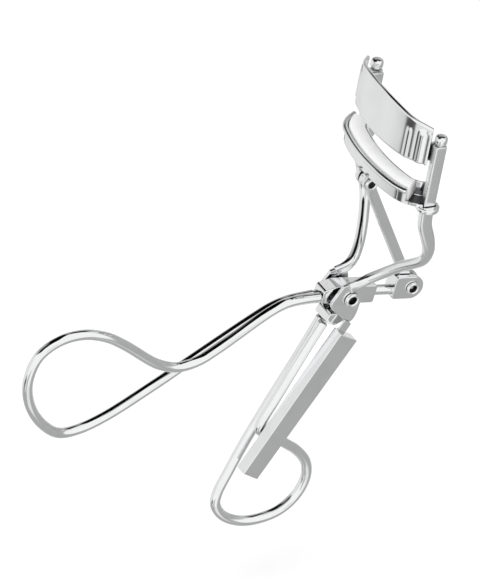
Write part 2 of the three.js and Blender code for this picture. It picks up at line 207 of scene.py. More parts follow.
def combined(mesh, others, operation):
    """The mesh joined with others, or with others cut away."""
    holder = bpy.data.objects.new("work", mesh)
    bpy.context.scene.collection.objects.link(holder)
    tools = []
    for other in others:
        tool = bpy.data.objects.new("tool", other)
        bpy.context.scene.collection.objects.link(tool)
        step = holder.modifiers.new("Boolean", "BOOLEAN")
        step.operation = operation
        step.solver = "EXACT"
        step.object = tool
        tools.append(tool)
    result = applied(holder)
    for tool in tools:
        bpy.data.objects.remove(tool)
    return welded(result)


def union(mesh, *others):
    return combined(mesh, others, "UNION")


def cut(mesh, *others):
    return combined(mesh, others, "DIFFERENCE")


# Plan and outline tools

def eased(share):
    """A share held from 0 to 1, with a smooth start and end."""
    share = min(max(share, 0), 1)
    return share * share * (3 - 2 * share)


def quadratic(a, b, c, steps=10):
    """Points on the curve from a to c that bends towards b, without its first point."""
    made = []
    for i in range(1, steps + 1):
        t = i / steps
        made.append(tuple((1 - t) ** 2 * p + 2 * t * (1 - t) * q + t * t * r for p, q, r in zip(a, b, c)))
    return made


def circle(y, z, radius, count=56):
    """A round outline. Reversed, it is a hole."""
    return [
        (y + radius * math.cos(math.tau * i / count), z + radius * math.sin(math.tau * i / count))
        for i in range(count)
    ]


def turned(points, angle, move=(0, 0)):
    """Outline points turned about zero and then moved."""
    c, s = math.cos(angle), math.sin(angle)
    return [(u * c - v * s + move[0], u * s + v * c + move[1]) for u, v in points]


# Which way a sheet is thick: along X with an outline in Y and Z, or along Z with an outline in X and Y
ALONG_X = ((0, 0, 1), (1, 0, 0), (0, 1, 0))
ALONG_Z = ((1, 0, 0), (0, 1, 0), (0, 0, 1))


def sheet(outlines, start, end, edge=0.15, axes=ALONG_X):
    """A plate with rounded edges, from start to end along an axis.

    The first outline is its rim, and the others are holes.
    """
    curve = bpy.data.curves.new("outline", "CURVE")
    curve.dimensions = "2D"
    curve.fill_mode = "BOTH"
    curve.extrude = (end - start) / 2 - edge
    curve.bevel_depth = edge
    curve.bevel_resolution = 3
    curve.offset = -edge
    for outline in outlines:
        spline = curve.splines.new("POLY")
        spline.points.add(len(outline) - 1)
        spline.use_cyclic_u = True
        for point, (y, z) in zip(spline.points, outline):
            point.co = (y, z, 0, 1)
    holder = bpy.data.objects.new("outline", curve)
    bpy.context.scene.collection.objects.link(holder)
    mesh = applied(holder)
    mesh.transform(Matrix(axes).to_4x4() @ Matrix.Translation((0, 0, (start + end) / 2)))
    return welded(mesh)


def welded(mesh, distance=0.002):
    """The mesh with doubled points joined and faces without area removed."""
    work = bmesh.new()
    work.from_mesh(mesh)
    bmesh.ops.remove_doubles(work, verts=work.verts, dist=distance)
    bmesh.ops.dissolve_degenerate(work, edges=work.edges, dist=distance / 4)
    bmesh.ops.recalc_face_normals(work, faces=work.faces)
    work.to_mesh(mesh)
    work.free()
    return mesh


def bendy_line(points, spacing=0.25, ease=6):
    """Evenly spaced points on a smooth line through the given ones, as a wire bends."""
    points = [Vector(p) for p in points]
    points = [2 * points[0] - points[1], *points, 2 * points[-1] - points[-2]]
    line = []
    for p0, p1, p2, p3 in zip(points, points[1:], points[2:], points[3:]):
        d0, d1, d2 = (p1 - p0).length ** 0.5, (p2 - p1).length ** 0.5, (p3 - p2).length ** 0.5
        t1 = ((p1 - p0) / d0 - (p2 - p0) / (d0 + d1) + (p2 - p1) / d1) * d1
        t2 = ((p2 - p1) / d1 - (p3 - p1) / (d1 + d2) + (p3 - p2) / d2) * d1
        count = max(2, round((p2 - p1).length / spacing))
        for i in range(count):
            t = i / count
            line.append(
                (2 * t**3 - 3 * t**2 + 1) * p1 + (t**3 - 2 * t**2 + t) * t1
                + (3 * t**2 - 2 * t**3) * p2 + (t**3 - t**2) * t2
            )
    line.append(points[-2])
    for _ in range(ease):
        line = [line[0], *[(a + 2 * b + c) / 4 for a, b, c in zip(line, line[1:], line[2:])], line[-1]]
    return line


def sweep(line, section, around=36, reference=Vector((1, 0, 0)), end_round=0.3):
    """A bar with eased ends along a line. section(share) gives its half width, half depth and squareness."""
    last = len(line) - 1
    lip = end_round * 0.3
    stations = [(0, end_round, 0), (0, lip, lip)]
    stations += [(i, 0, 0) for i in range(1, last)]
    stations += [(last, lip, -lip), (last, end_round, 0)]
    verts = []
    for i, inset, shift in stations:
        tangent = (line[min(i + 1, last)] - line[max(i - 1, 0)]).normalized()
        side = (reference - reference.dot(tangent) * tangent).normalized()
        up = tangent.cross(side)
        half_side, half_up, square = section(i / last)
        middle = line[i] + tangent * shift
        for k in range(around):
            c, s = math.cos(math.tau * k / around), math.sin(math.tau * k / around)
            a = math.copysign(abs(c) ** (2 / square), c) * (half_side - inset)
            b = math.copysign(abs(s) ** (2 / square), s) * (half_up - inset)
            verts.append(middle + side * a + up * b)
    return tube(verts, around)


def tube(verts, around):
    """Joins rings of points into a closed skin with flat ends."""
    rings = len(verts) // around
    faces = [tuple(range(around)), tuple(range((rings - 1) * around, rings * around))]
    for ring in range(rings - 1):
        for k in range(around):
            a, b = ring * around + k, ring * around + (k + 1) % around
            faces.append((a, b, b + around, a + around))
    return mesh_of(verts, faces)


def round_section(radius):
    """The section of a round wire, for sweep."""
    return lambda share: (radius, radius, 2)


def rod(start, end, radius):
    """A straight round bar."""
    start, end = Vector(start), Vector(end)
    reference = Vector((0, 1, 0)) if abs((end - start).normalized().x) > 0.7 else Vector((1, 0, 0))
    line = [start.lerp(end, i / 12) for i in range(13)]
    return sweep(line, round_section(radius), reference=reference, end_round=radius * 0.15)


def lathe(profile, origin, axis, around=48):
    """Turns (radius, height) points round an axis through origin.

    The first and last points are on the axis.
    """
    axis = Vector(axis).normalized()
    side = Vector((0, 1, 0)) if abs(axis.y) < 0.5 else Vector((1, 0, 0))
    across = axis.cross(side)
    origin = Vector(origin)
    verts = [origin + axis * profile[0][1]]
    for radius, height in profile[1:-1]:
        middle = origin + axis * height
        for k in range(around):
            angle = math.tau * k / around
            verts.append(middle + (side * math.cos(angle) + across * math.sin(angle)) * radius)
    verts.append(origin + axis * profile[-1][1])
    faces = []
    rings = len(profile) - 2
    for k in range(around):
        after = (k + 1) % around
        faces.append((0, 1 + after, 1 + k))
        for ring in range(rings - 1):
            a = 1 + ring * around
            faces.append((a + k, a + after, a + around + after, a + around + k))
        a = 1 + (rings - 1) * around
        faces.append((a + k, a + after, len(verts) - 1))
    return mesh_of(verts, faces)


def bow_frame(back, middle_r, flat, corner_r, turn, tail, count=110):
    """Stations along a jaw's plan line, from far to near.

    Each is a place, the direction to the rear there, and the share of the half length, from -1 to 1.
    """
    start = math.asin(flat / middle_r)
    end = math.radians(turn)
    inner_r = middle_r - corner_r
    corner = (inner_r * math.sin(start), back + middle_r - inner_r * math.cos(start))
    lengths = [middle_r * start, corner_r * (end - start), tail]
    total = sum(lengths)
    stations = []
    for i in range(-count, count + 1):
        run = abs(i) / count * total
        if run <= lengths[0]:
            angle = run / middle_r
            x, y = middle_r * math.sin(angle), back + middle_r * (1 - math.cos(angle))
        else:
            angle = start + min(run - lengths[0], lengths[1]) / corner_r
            x, y = corner[0] + corner_r * math.sin(angle), corner[1] - corner_r * math.cos(angle)
            beyond = max(0.0, run - lengths[0] - lengths[1])
            x, y = x + beyond * math.cos(angle), y + beyond * math.sin(angle)
        sign = -1 if i < 0 else 1
        stations.append(((sign * x, y), (sign * math.sin(angle), -math.cos(angle)), sign * run / total))
    return stations


def follow(stations, profile):
    """A closed profile of (offset to the rear, z) points carried along a jaw's plan line."""
    verts = []
    for (x, y), (nx, ny), share in stations:
        verts += [(x + nx * offset, y + ny * offset, z) for offset, z in profile(share, x)]
    return tube(verts, len(verts) // len(stations))


def rounded(points, radius, steps=4):
    """A closed outline with each corner rounded."""
    made = []
    count = len(points)
    for i, point in enumerate(points):
        here = Vector(point)
        before, after = Vector(points[i - 1]), Vector(points[(i + 1) % count])
        reach = min(radius, (before - here).length / 2, (after - here).length / 2)
        a = here + (before - here).normalized() * reach
        c = here + (after - here).normalized() * reach
        made += [tuple(a), *quadratic(a, here, c, steps)]
    return made


# Materials

class Nodes:
    """Short calls for building a node tree."""

    def __init__(self, tree):
        self.tree = tree
        tree.nodes.clear()

    def link(self, source, target):
        self.tree.links.new(source, target)

    def feed(self, node, index, value):
        if hasattr(value, "is_output"):
            self.link(value, node.inputs[index])
        else:
            node.inputs[index].default_value = value

    def math(self, operation, *values, clamp=False):
        node = self.tree.nodes.new("ShaderNodeMath")
        node.operation = operation
        node.use_clamp = clamp
        for index, value in enumerate(values):
            self.feed(node, index, value)
        return node.outputs[0]

    def ramp(self, value, low, high, to_low=0.0, to_high=1.0):
        """Takes a value smoothly from one range to another."""
        node = self.tree.nodes.new("ShaderNodeMapRange")
        node.interpolation_type = "SMOOTHSTEP"
        for index, given in enumerate((value, low, high, to_low, to_high)):
            self.feed(node, index, given)
        return node.outputs[0]

    def noise(self, vector, scale, detail=3.0, stretch=None):
        if stretch:
            mapping = self.tree.nodes.new("ShaderNodeMapping")
            mapping.inputs["Scale"].default_value = stretch
            self.link(vector, mapping.inputs["Vector"])
            vector = mapping.outputs[0]
        node = self.tree.nodes.new("ShaderNodeTexNoise")
        node.inputs["Scale"].default_value = scale
        node.inputs["Detail"].default_value = detail
        self.link(vector, node.inputs["Vector"])
        return node.outputs[0]


def surface(name, color, metallic, roughness):
    material = bpy.data.materials.new(name)
    material.use_nodes = True
    nodes = Nodes(material.node_tree)
    shader = nodes.tree.nodes.new("ShaderNodeBsdfPrincipled")
    output = nodes.tree.nodes.new("ShaderNodeOutputMaterial")
    nodes.link(shader.outputs[0], output.inputs[0])
    shader.inputs["Base Color"].default_value = (*color, 1)
    shader.inputs["Metallic"].default_value = metallic
    shader.inputs["Roughness"].default_value = roughness
    place = nodes.tree.nodes.new("ShaderNodeTexCoord").outputs["Object"]
    return material, nodes, shader, place


def chrome(name, color=(0.93, 0.935, 0.94), gloss=0.05, haze=0.05, grain=(1, 1, 1), scratch=0.04):
    """Bright nickel-chrome plate.

    It has patchy haze from handling, hairline scratches and a faint ripple in the metal. Grain stretches the
    scratches along the way the part was polished. Narrow recesses get painted shade: the colour is darkened
    where ambient occlusion finds other surfaces close by.
    """
    material, nodes, shader, place = surface(name, color, 1.0, gloss)
    patches = nodes.ramp(nodes.noise(place, 220), 0.38, 0.72)
    hairlines = nodes.ramp(nodes.noise(place, 2600, 2, grain), 0.6, 0.74)
    rough = nodes.math("MULTIPLY_ADD", patches, haze, gloss)
    rough = nodes.math("MULTIPLY_ADD", hairlines, scratch, rough)
    nodes.link(rough, shader.inputs["Roughness"])
    tint = nodes.tree.nodes.new("ShaderNodeMix")
    tint.data_type = "RGBA"
    nodes.link(patches, tint.inputs["Factor"])
    tint.inputs[6].default_value = (*color, 1)
    tint.inputs[7].default_value = (*[0.965 * c for c in color], 1)
    # Painted shade: ambient occlusion darkens the colour in recesses, creases and between parts.
    recess = nodes.tree.nodes.new("ShaderNodeAmbientOcclusion")
    recess.samples = 6
    recess.inputs["Distance"].default_value = 0.0012
    shade = nodes.ramp(recess.outputs["AO"], 0.12, 0.62, 0.12, 1.0)
    dim = nodes.tree.nodes.new("ShaderNodeVectorMath")
    dim.operation = "SCALE"
    nodes.link(tint.outputs[2], dim.inputs[0])
    nodes.link(shade, dim.inputs["Scale"])
    nodes.link(dim.outputs[0], shader.inputs["Base Color"])
    bump = nodes.tree.nodes.new("ShaderNodeBump")
    bump.inputs["Strength"].default_value = 0.12
    bump.inputs["Distance"].default_value = 0.000012
    ripple = nodes.math("MULTIPLY_ADD", nodes.noise(place, 420, 2), 0.8, hairlines)
    nodes.link(ripple, bump.inputs["Height"])
    nodes.link(bump.outputs[0], shader.inputs["Normal"])
    return material


def silicone():
    material, nodes, shader, place = surface("pad_silicone", (0.82, 0.825, 0.82), 0.0, 0.5)
    mottle = nodes.ramp(nodes.noise(place, 350), 0.35, 0.7)
    nodes.link(nodes.math("MULTIPLY_ADD", mottle, 0.14, 0.42), shader.inputs["Roughness"])
    shader.inputs["Subsurface Weight"].default_value = 0.35
    shader.inputs["Subsurface Radius"].default_value = (1, 1, 1)
    shader.inputs["Subsurface Scale"].default_value = 0.0008
    bump = nodes.tree.nodes.new("ShaderNodeBump")
    bump.inputs["Strength"].default_value = 0.25
    bump.inputs["Distance"].default_value = 0.00003
    nodes.link(nodes.noise(place, 2400, 4), bump.inputs["Height"])
    nodes.link(bump.outputs[0], shader.inputs["Normal"])
    return material


def dark_plastic():
    material, nodes, shader, place = surface("comb_plastic", (0.03, 0.032, 0.035), 0.0, 0.4)
    grain = nodes.noise(place, 3200, 3)
    nodes.link(nodes.ramp(grain, 0.3, 0.7, 0.34, 0.5), shader.inputs["Roughness"])
    bump = nodes.tree.nodes.new("ShaderNodeBump")
    bump.inputs["Strength"].default_value = 0.3
    bump.inputs["Distance"].default_value = 0.00002
    nodes.link(grain, bump.inputs["Height"])
    nodes.link(bump.outputs[0], shader.inputs["Normal"])
    return material


WIRE = chrome("wire_chrome", grain=(1, 0.06, 0.06))
PLATE = chrome("plate_chrome", gloss=0.07, haze=0.06, grain=(0.06, 0.06, 1))
FORGED = chrome("forged_chrome", gloss=0.08, haze=0.08)
RIVET = chrome("rivet_chrome", gloss=0.1, haze=0.06)
# A dark chrome that is laid on recess faces as painted shade.
PAINTED_SHADE_CHROME = chrome("recess_painted_shade_chrome", (0.07, 0.07, 0.075), gloss=0.3, haze=0.15)
SATIN = chrome("satin_chrome", gloss=0.2, haze=0.08)
SILICONE = silicone()
PLASTIC = dark_plastic()


# Handles

def handle_wire(points):
    """A wire bent through the given points."""
    return sweep(bendy_line(points, ease=14), round_section(WIRE_R))


def finger_loop():
    """One wire from the lever, round the loop and back beside itself."""
    near, far = WIRE_X, -WIRE_X
    back = LEVER_BACK - 0.3
    mesh = handle_wire([
        (near, back, 0.1), (near, -12, 0.2), (near, -16, -0.3), (near, -20, -2.2),
        (near, -31, -9.7), (near, -36, -12.5), (near, -41, -13.3), (near, -46.5, -11.6),
        (1.1, -56, -5.2), (0.9, -61, -2.4), (0.6, -67, -0.9), (0.4, -73, -1.8),
        (0.1, -77.5, -5.5), (0, -79, -12), (-0.3, -77, -19), (-0.7, -72.5, -25),
        (-1.1, -67.5, -28.4), (far, -62.5, -28.4), (far, -56, -26), (far, -45, -19.6),
        (far, -36, -13.9), (far, -22, -5.1), (far, -17.5, -2.6), (far, -13.5, -1.4), (far, back, -0.9),
    ])
    finished("finger_loop_wire", mesh, WIRE, "finger_handle", "finger_loop", sharp=60, level=False)


def thumb_loop():
    """One wire from the yoke, round the loop and back to the yoke."""
    near, far = WIRE_X, -WIRE_X
    mesh = handle_wire([
        (near, -4.7, -6.9), (near, -7.4, -12.7), (near, -13.4, -26.8), (near, -15.6, -32),
        (near, -15.9, -34.4), (near, -14, -35.6), (1.2, -8.4, -39.2), (1, -4.3, -42.2),
        (0.8, -1.2, -46), (0.4, -0.2, -50.5), (0, -1.6, -55.5), (0, -5.2, -58.9),
        (0, -10.2, -60.4), (0, -15.4, -60.2), (-0.2, -20.3, -57.9), (-0.4, -22.6, -54.4),
        (-0.6, -22.3, -51.5), (-1, -20.3, -46.6), (far, -17.6, -40), (far, -13, -29),
        (far, -6.4, -14.2), (far, -3.6, -7.3),
    ])
    finished("thumb_loop_wire", mesh, WIRE, "frame", "thumb_loop", sharp=60, level=False)


def yoke_block():
    """The block between the cheeks that holds the thumb loop."""
    outline = rounded([(-2.4, -7.5), (1, -6), (0.6, -4.1), (-4.1, -4.15), (-4.95, -6.2)], 0.6)
    half = CHEEK_IN - CLEAR
    finished("yoke", sheet([outline], -half, half, 0.25), FORGED, "frame", "yoke_block")


# Frame

def cheek_outline():
    """The hinge cheek at the foot of an arm, round the main rivet."""
    points = [(-2.5, 3.6), (1, 4.6)]
    points += quadratic((1, 4.6), (2.6, 3.4), (2.7, -0.6))
    points += [(2.3, -3.6)]
    points += quadratic((2.3, -3.6), (1.6, -6.6), (0.2, -6.3))
    points += [(-3.9, -2.8)]
    points += quadratic((-3.9, -2.8), (-5.3, -1.6), (-4.8, -0.2))
    return points


def side_rail_mesh(back):
    """A rail, its arm and its cheek on the near side, with the rail set back by a given amount."""
    middle = (CHEEK_IN + CHEEK_OUT) / 2
    points = [(RAIL_X, RAIL_Y - back, z) for z in (RAIL_TOP, 42, 35, RAIL_BOTTOM + 3)]
    points += [
        (RAIL_X, 7.9 - back, RAIL_BOTTOM), (15.9, 8.9 - back / 2, 23.2), (15.2, 9.8, 19),
        (13.7, 10, 15.5), (9, 7.7, 11.1), (5.7, 5.4, 7.4),
        (middle + 0.6, 3.2, 5), (middle + 0.25, 1.1, 3.6), (middle + 0.2, -1, 2.9),
    ]
    line = bendy_line(points, spacing=0.2, ease=10)
    whole = sum((b - a).length for a, b in zip(line, line[1:]))
    arm_from = (RAIL_TOP - RAIL_BOTTOM) * 1.12 / whole
    arm_ease = 0.16
    foot_from = 0.88
    foot_side = 0.8
    foot_deep = 1.5
    rail_square = 6
    arm_square = 2.2

    def section(share):
        """Flat on the rail, round along the arm and pressed flat again on the cheek."""
        to_round = eased((share - arm_from) / arm_ease)
        to_flat = eased((share - foot_from) / (1 - foot_from))
        side = RAIL_WIDE / 2 + (WIRE_R - RAIL_WIDE / 2) * to_round
        deep = RAIL_DEEP / 2 + (WIRE_R - RAIL_DEEP / 2) * to_round
        side += (foot_side - side) * to_flat
        deep += (foot_deep - deep) * to_flat
        return side, deep, rail_square - (rail_square - arm_square) * to_round

    bar = sweep(line, section, around=64, end_round=0.25)
    hole = circle(0, 0, PIVOT_R + 0.12)[::-1]
    return union(bar, sheet([cheek_outline(), hole], CHEEK_IN, CHEEK_OUT, 0.16))


def side_rails():
    """Both rails. The near one is less polished."""
    finished("far_rail", mirrored(side_rail_mesh(0)), FORGED, "frame", "far_side_rail")
    finished("near_rail", side_rail_mesh(NEAR_RAIL_BACK), SATIN, "frame", "near_side_rail")


def rail_caps():
    """The headed tops of the rails: a neck, a collar and a domed head."""
    neck, head = CAP_NECK_R, CAP_HEAD_R
    shoulder = 1.7  # height where the dome starts
    dome_wide, dome_high = 0.66, 0.85
    profile = [(0, -0.05), (0.9, -0.05), (neck, 0.1), (neck, 0.35)]
    profile += [(1.35, 0.55), (head, 0.8), (head, shoulder)]
    for angle in (0.4, 0.8, 1.2):
        profile.append((head - dome_wide * (1 - math.cos(angle)), shoulder + dome_high * math.sin(angle)))
    profile += [(0.5, 2.58), (0, 2.6)]
    for side, name, back in ((1, "near", NEAR_RAIL_BACK), (-1, "far", 0)):
        cap = lathe(profile, (side * RAIL_X, RAIL_Y - back, RAIL_TOP + 0.05), (0, 0, 1))
        finished(name + "_cap", cap, FORGED, "frame", name + "_rail_cap", sharp=40, level=False)


# Jaws

def fluting(run, height):
    """How far the plate is pressed in, at a place along it and a height."""
    depth = 0.0
    for place, wide, deep, top in FLUTES:
        across = (abs(run) - place) / wide
        if abs(across) < 1:
            depth += deep * (0.5 + 0.5 * math.cos(math.pi * across)) * eased((top - height) / 1.6)
    return depth


def plate_tab(rail_y):
    """The end of the plate that is bent along the inner side of the near rail."""
    outer = RAIL_X - RAIL_WIDE / 2 - CLEAR
    inner = outer - 2 * PLATE_HALF
    back = RAIL_Y - RAIL_DEEP / 2 - 2.4
    front = rail_y + RAIL_DEEP / 2 - 0.5
    corners = [(inner, back), (outer, back), (outer, front), (inner, front)]
    return sheet([corners], PLATE_LOW + 0.6, RAIL_TOP, 0.2, ALONG_Z)


def upper_plate():
    """The fixed jaw: a thin curved plate, fluted at its ends, with a tab beside each rail."""
    half, low, rows = PLATE_HALF, PLATE_LOW, 26
    edge = 0.3  # from the top and bottom edges to where the faces are flat
    inset, rim_high = 0.12, 0.08  # how the edges are rounded
    stations = bow_frame(*PLATE_BOW)
    whole = sum(math.dist(a[0], b[0]) for a, b in zip(stations, stations[1:])) / 2

    def profile(share, x):
        top = PLATE_HIGH_END + (PLATE_HIGH - PLATE_HIGH_END) * (1 - (x / RAIL_X) ** 2)
        run = share * whole
        heights = [low + edge + (top - low - 2 * edge) * i / rows for i in range(rows + 1)]
        rear = [(half + fluting(run, z), z) for z in heights]
        front = [(fluting(run, z) - half, z) for z in heights[::-1]]
        rim_in, foot_in = fluting(run, top), fluting(run, low)
        side = half - inset
        rim = [(side + rim_in, top - rim_high), (rim_in, top), (rim_in - side, top - rim_high)]
        foot = [(foot_in - side, low + rim_high), (foot_in, low), (side + foot_in, low + rim_high)]
        return [*rear, *rim, *front, *foot]

    strip = follow(stations, profile)
    mesh = union(strip, plate_tab(RAIL_Y - NEAR_RAIL_BACK), mirrored(plate_tab(RAIL_Y)))
    finished("upper_jaw_plate", mesh, PLATE, "frame", "upper_plate", sharp=50)


def channel_profile(low, high, half, wall, bead):
    """The jaw's section: a flat floor, a plain front wall and a rear wall with a rolled top edge."""
    centre = (half - wall + bead, high - bead)
    join = math.acos((half - centre[0]) / bead)
    steps = 14
    rolled = []
    for i in range(steps + 1):
        angle = -join + (math.pi + join) * i / steps
        rolled.append((centre[0] + bead * math.cos(angle), centre[1] + bead * math.sin(angle)))
    inner = half - wall
    plain = rounded([
        (inner, low + wall), (-inner, low + wall), (-inner, high),
        (-half, high), (-half, low), (half, low),
    ], 0.22, 4)
    return [*rolled, *plain]


def wall_end(low, high):
    """What is cut away where the rear wall of the channel stops short of the near rail."""
    *bow, tail = JAW_BOW
    stations = [(at, rear) for at, rear, share in bow_frame(*bow, tail + 1) if at[0] > WALL_NEAR_END]
    inside = CHANNEL_WIDE / 2 - CHANNEL_WALL - CLEAR
    outside = CHANNEL_WIDE * 0.7
    inner = [(x + nx * inside, y + ny * inside) for (x, y), (nx, ny) in stations]
    outer = [(x + nx * outside, y + ny * outside) for (x, y), (nx, ny) in stations]
    return sheet([[*outer, *inner[::-1]]], low, high, 0.05, ALONG_Z)


def lug_leaf():
    """One of the two leaves below the channel that hold the link's pin."""
    y, z = LUG_PIN
    top = CHANNEL_LOW + CHANNEL_WALL / 2
    outline = [(y + LUG_R, top), (y - LUG_R, top)]
    for i in range(21):
        angle = math.pi * (1 + i / 20)
        outline.append((y + LUG_R * math.cos(angle), z + LUG_R * math.sin(angle)))
    return sheet([outline, circle(y, z, LUG_PIN_R + CLEAR)[::-1]], FORK_GAP, LEVER_HALF, 0.14)


def rail_ear(x, y):
    """The eye that slides on a rail, and the hole for the rail through it."""
    rim = [(EAR_R - 0.2, 0), (EAR_R - 0.06, 0.1), (EAR_R, 0.25)]
    profile = [(0, EAR_LOW), *[(r, EAR_LOW + rise) for r, rise in rim]]
    profile += [*[(r, EAR_HIGH - rise) for r, rise in rim[::-1]], (0, EAR_HIGH)]
    ear = lathe(profile, (x, y, 0), (0, 0, 1))
    line = [Vector((x, y, z)) for z in (29, 31, 33, 35, 37, 39)]
    gap = 0.3
    hole = sweep(line, lambda share: (RAIL_WIDE / 2 + gap, RAIL_DEEP / 2 + gap, 5), around=48)
    return ear, hole


def lower_jaw():
    """The channel that holds the pad, with an ear on each rail and the lug for the link."""
    outline = channel_profile(CHANNEL_LOW, CHANNEL_HIGH, CHANNEL_WIDE / 2, CHANNEL_WALL, CHANNEL_BEAD_R)
    channel = follow(bow_frame(*JAW_BOW), lambda share, x: outline)
    near_ear, near_hole = rail_ear(RAIL_X, RAIL_Y - NEAR_RAIL_BACK)
    far_ear, far_hole = rail_ear(-RAIL_X, RAIL_Y)
    leaf = lug_leaf()
    beyond_wall = wall_end(CHANNEL_LOW + WALL_STUB, CHANNEL_HIGH + 1)
    whole = union(channel, leaf, mirrored(leaf), near_ear, far_ear)
    mesh = cut(whole, beyond_wall, near_hole, far_hole)
    piece = finished("lower_jaw_channel", mesh, PLATE, "jaw_carriage", "lower_jaw")
    # Painted shade on the channel's floor, beside the pad's near end
    floor_z = (CHANNEL_LOW + CHANNEL_WALL) * MM + RIVET_MIDDLE.z
    paint_shade(piece, lambda face: abs(face.center.z - floor_z) < 0.05 * MM and face.normal.z > 0.9)


def pad():
    """The silicone strip, with a crowned top that rounds off at both ends."""
    half = CHANNEL_WIDE / 2 - CHANNEL_WALL - CLEAR
    low = CHANNEL_LOW + CHANNEL_WALL + CLEAR
    arch = [math.pi * k / 12 for k in range(1, 12)]
    end_share, end_narrow, end_low = 0.02, 0.25, 0.5

    def profile(share, x):
        to_end = min(1.0, (1 - abs(share)) / end_share)
        drop = (1 - to_end) ** 2
        side = half - end_narrow * drop
        shoulder = PAD_HIGH - PAD_CROWN - end_low * drop
        top = [(side * math.cos(a), shoulder + PAD_CROWN * math.sin(a) ** 0.8) for a in arch]
        return [(-side, low), (side, low), (side, shoulder), *top, (-side, shoulder)]

    stations = [station for station in bow_frame(*PAD_BOW) if station[0][0] < PAD_NEAR_END]
    last = len(stations) - 1
    stations = [(point, rear, 2 * i / last - 1) for i, (point, rear, share) in enumerate(stations)]
    mesh = follow(stations, profile)
    finished("pad_strip", mesh, SILICONE, "jaw_carriage", "pad", slot="pad", sharp=60, level=False)


# Linkage

def lever_points(points):
    """Points drawn along the lever, turned to where it rests."""
    return turned(points, LEVER_TILT)


def lever_eye():
    """The flat tab at the lever's front end, round at the nose and square at the back."""
    (y, z), r = EYE, EYE_R
    nose = [math.pi * (i / 28 - 0.5) for i in range(29)]
    outline = [(y + r * math.cos(a), z + r * math.sin(a)) for a in nose]
    outline += rounded([(y, z + r), (y - EYE_BACK, z + r), (y - EYE_BACK, z - r), (y, z - r)], 1)[5:-5]
    return sheet([lever_points(outline)], -LEVER_HALF, LEVER_HALF, 0.2)


def lever_slot():
    """What is cut from the tab to make it a fork for the link, open at the front and below."""
    y, z = EYE
    web = y - EYE_BACK + EYE_WEB
    outline = [(y + 5, z - 5), (y + 5, z + 4), (web - 2, z + 4), (web, z + 0.3), (web, z - 5)]
    return sheet([lever_points(outline)], -FORK_GAP, FORK_GAP, 0.05)


def lever():
    """The bar at the end of the finger loop, with a hub, a round neck and a forked eye."""
    half = LEVER_HIGH / 2
    taper = LEVER_BACK + LEVER_TAPER
    side = rounded([
        (LEVER_BACK, 0.4 - half), (taper, -half), (LEVER_FRONT, -half),
        (LEVER_FRONT, half), (taper, half), (LEVER_BACK, half - 1.1),
    ], 0.6)
    bar = sheet([lever_points(side)], -LEVER_HALF, LEVER_HALF, 0.22)
    hub = sheet([circle(0, 0, HUB_R)], -HUB_HALF, HUB_HALF, 0.15)
    neck_from, neck_to = lever_points([(LEVER_FRONT - 1, -0.2), (EYE[0] - EYE_BACK + 1, -0.2)])
    neck = rod((0, *neck_from), (0, *neck_to), NECK_R)
    eye = lever_points([EYE])[0]
    past = LEVER_HALF + 2
    bores = [
        rod((-past, *eye), (past, *eye), EYE_PIN_R + CLEAR),
        rod((-past, 0, 0), (past, 0, 0), PIVOT_R + CLEAR),
    ]
    mesh = cut(union(bar, hub, neck, lever_eye()), lever_slot(), *bores)
    finished("lever_arm", mesh, FORGED, "finger_handle", "lever")


def link():
    """The flat strip from the jaw's lug to the lever's eye. Its upper hole is wide, to clear its pin."""
    eye = Vector(lever_points([EYE])[0])
    top = Vector(LUG_PIN)
    along = eye - top
    top_r, eye_r, top_gap = 1.65, 2.2, 0.5

    def end_arc(centre, radius, away):
        """The round end of the link, from one edge of its strip to the other."""
        half_turn = math.pi - math.asin(LINK_R / radius)
        heading = math.atan2(away.y, away.x)
        angles = [heading + half_turn * (i / 12 - 1) for i in range(25)]
        return [(centre.x + radius * math.cos(a), centre.y + radius * math.sin(a)) for a in angles]

    outline = end_arc(top, top_r, -along) + end_arc(eye, eye_r, along)
    holes = [circle(*top, LUG_PIN_R + top_gap)[::-1], circle(*eye, EYE_PIN_R + CLEAR)[::-1]]
    mesh = sheet([outline, *holes], -LINK_HALF, LINK_HALF, 0.16)
    finished("link_bar", mesh, FORGED, "link", "link")


def rivet_mesh(y, z, radius, half, head_r, head):
    """A tubular rivet along X: a flat head on the far side, a rolled rim round a dimple on the near side."""
    low, high = -half - head, half + head
    roll = head_r * 0.22
    profile = [
        (0, low), (head_r * 0.8, low), (head_r, -half - head * 0.6), (head_r, -half),
        (radius, -half), (radius, half), (head_r, half), (head_r, high - roll),
    ]
    for k in range(1, 10):
        angle = math.pi * k / 9
        profile.append((head_r - roll + roll * math.cos(angle), high - roll + roll * math.sin(angle)))
    floor_x = high - roll * 2.6
    profile += [(head_r * 0.46, floor_x), (head_r * 0.26, floor_x), (0, high - roll * 2.2)]
    return lathe(profile, (0, y, z), (1, 0, 0))


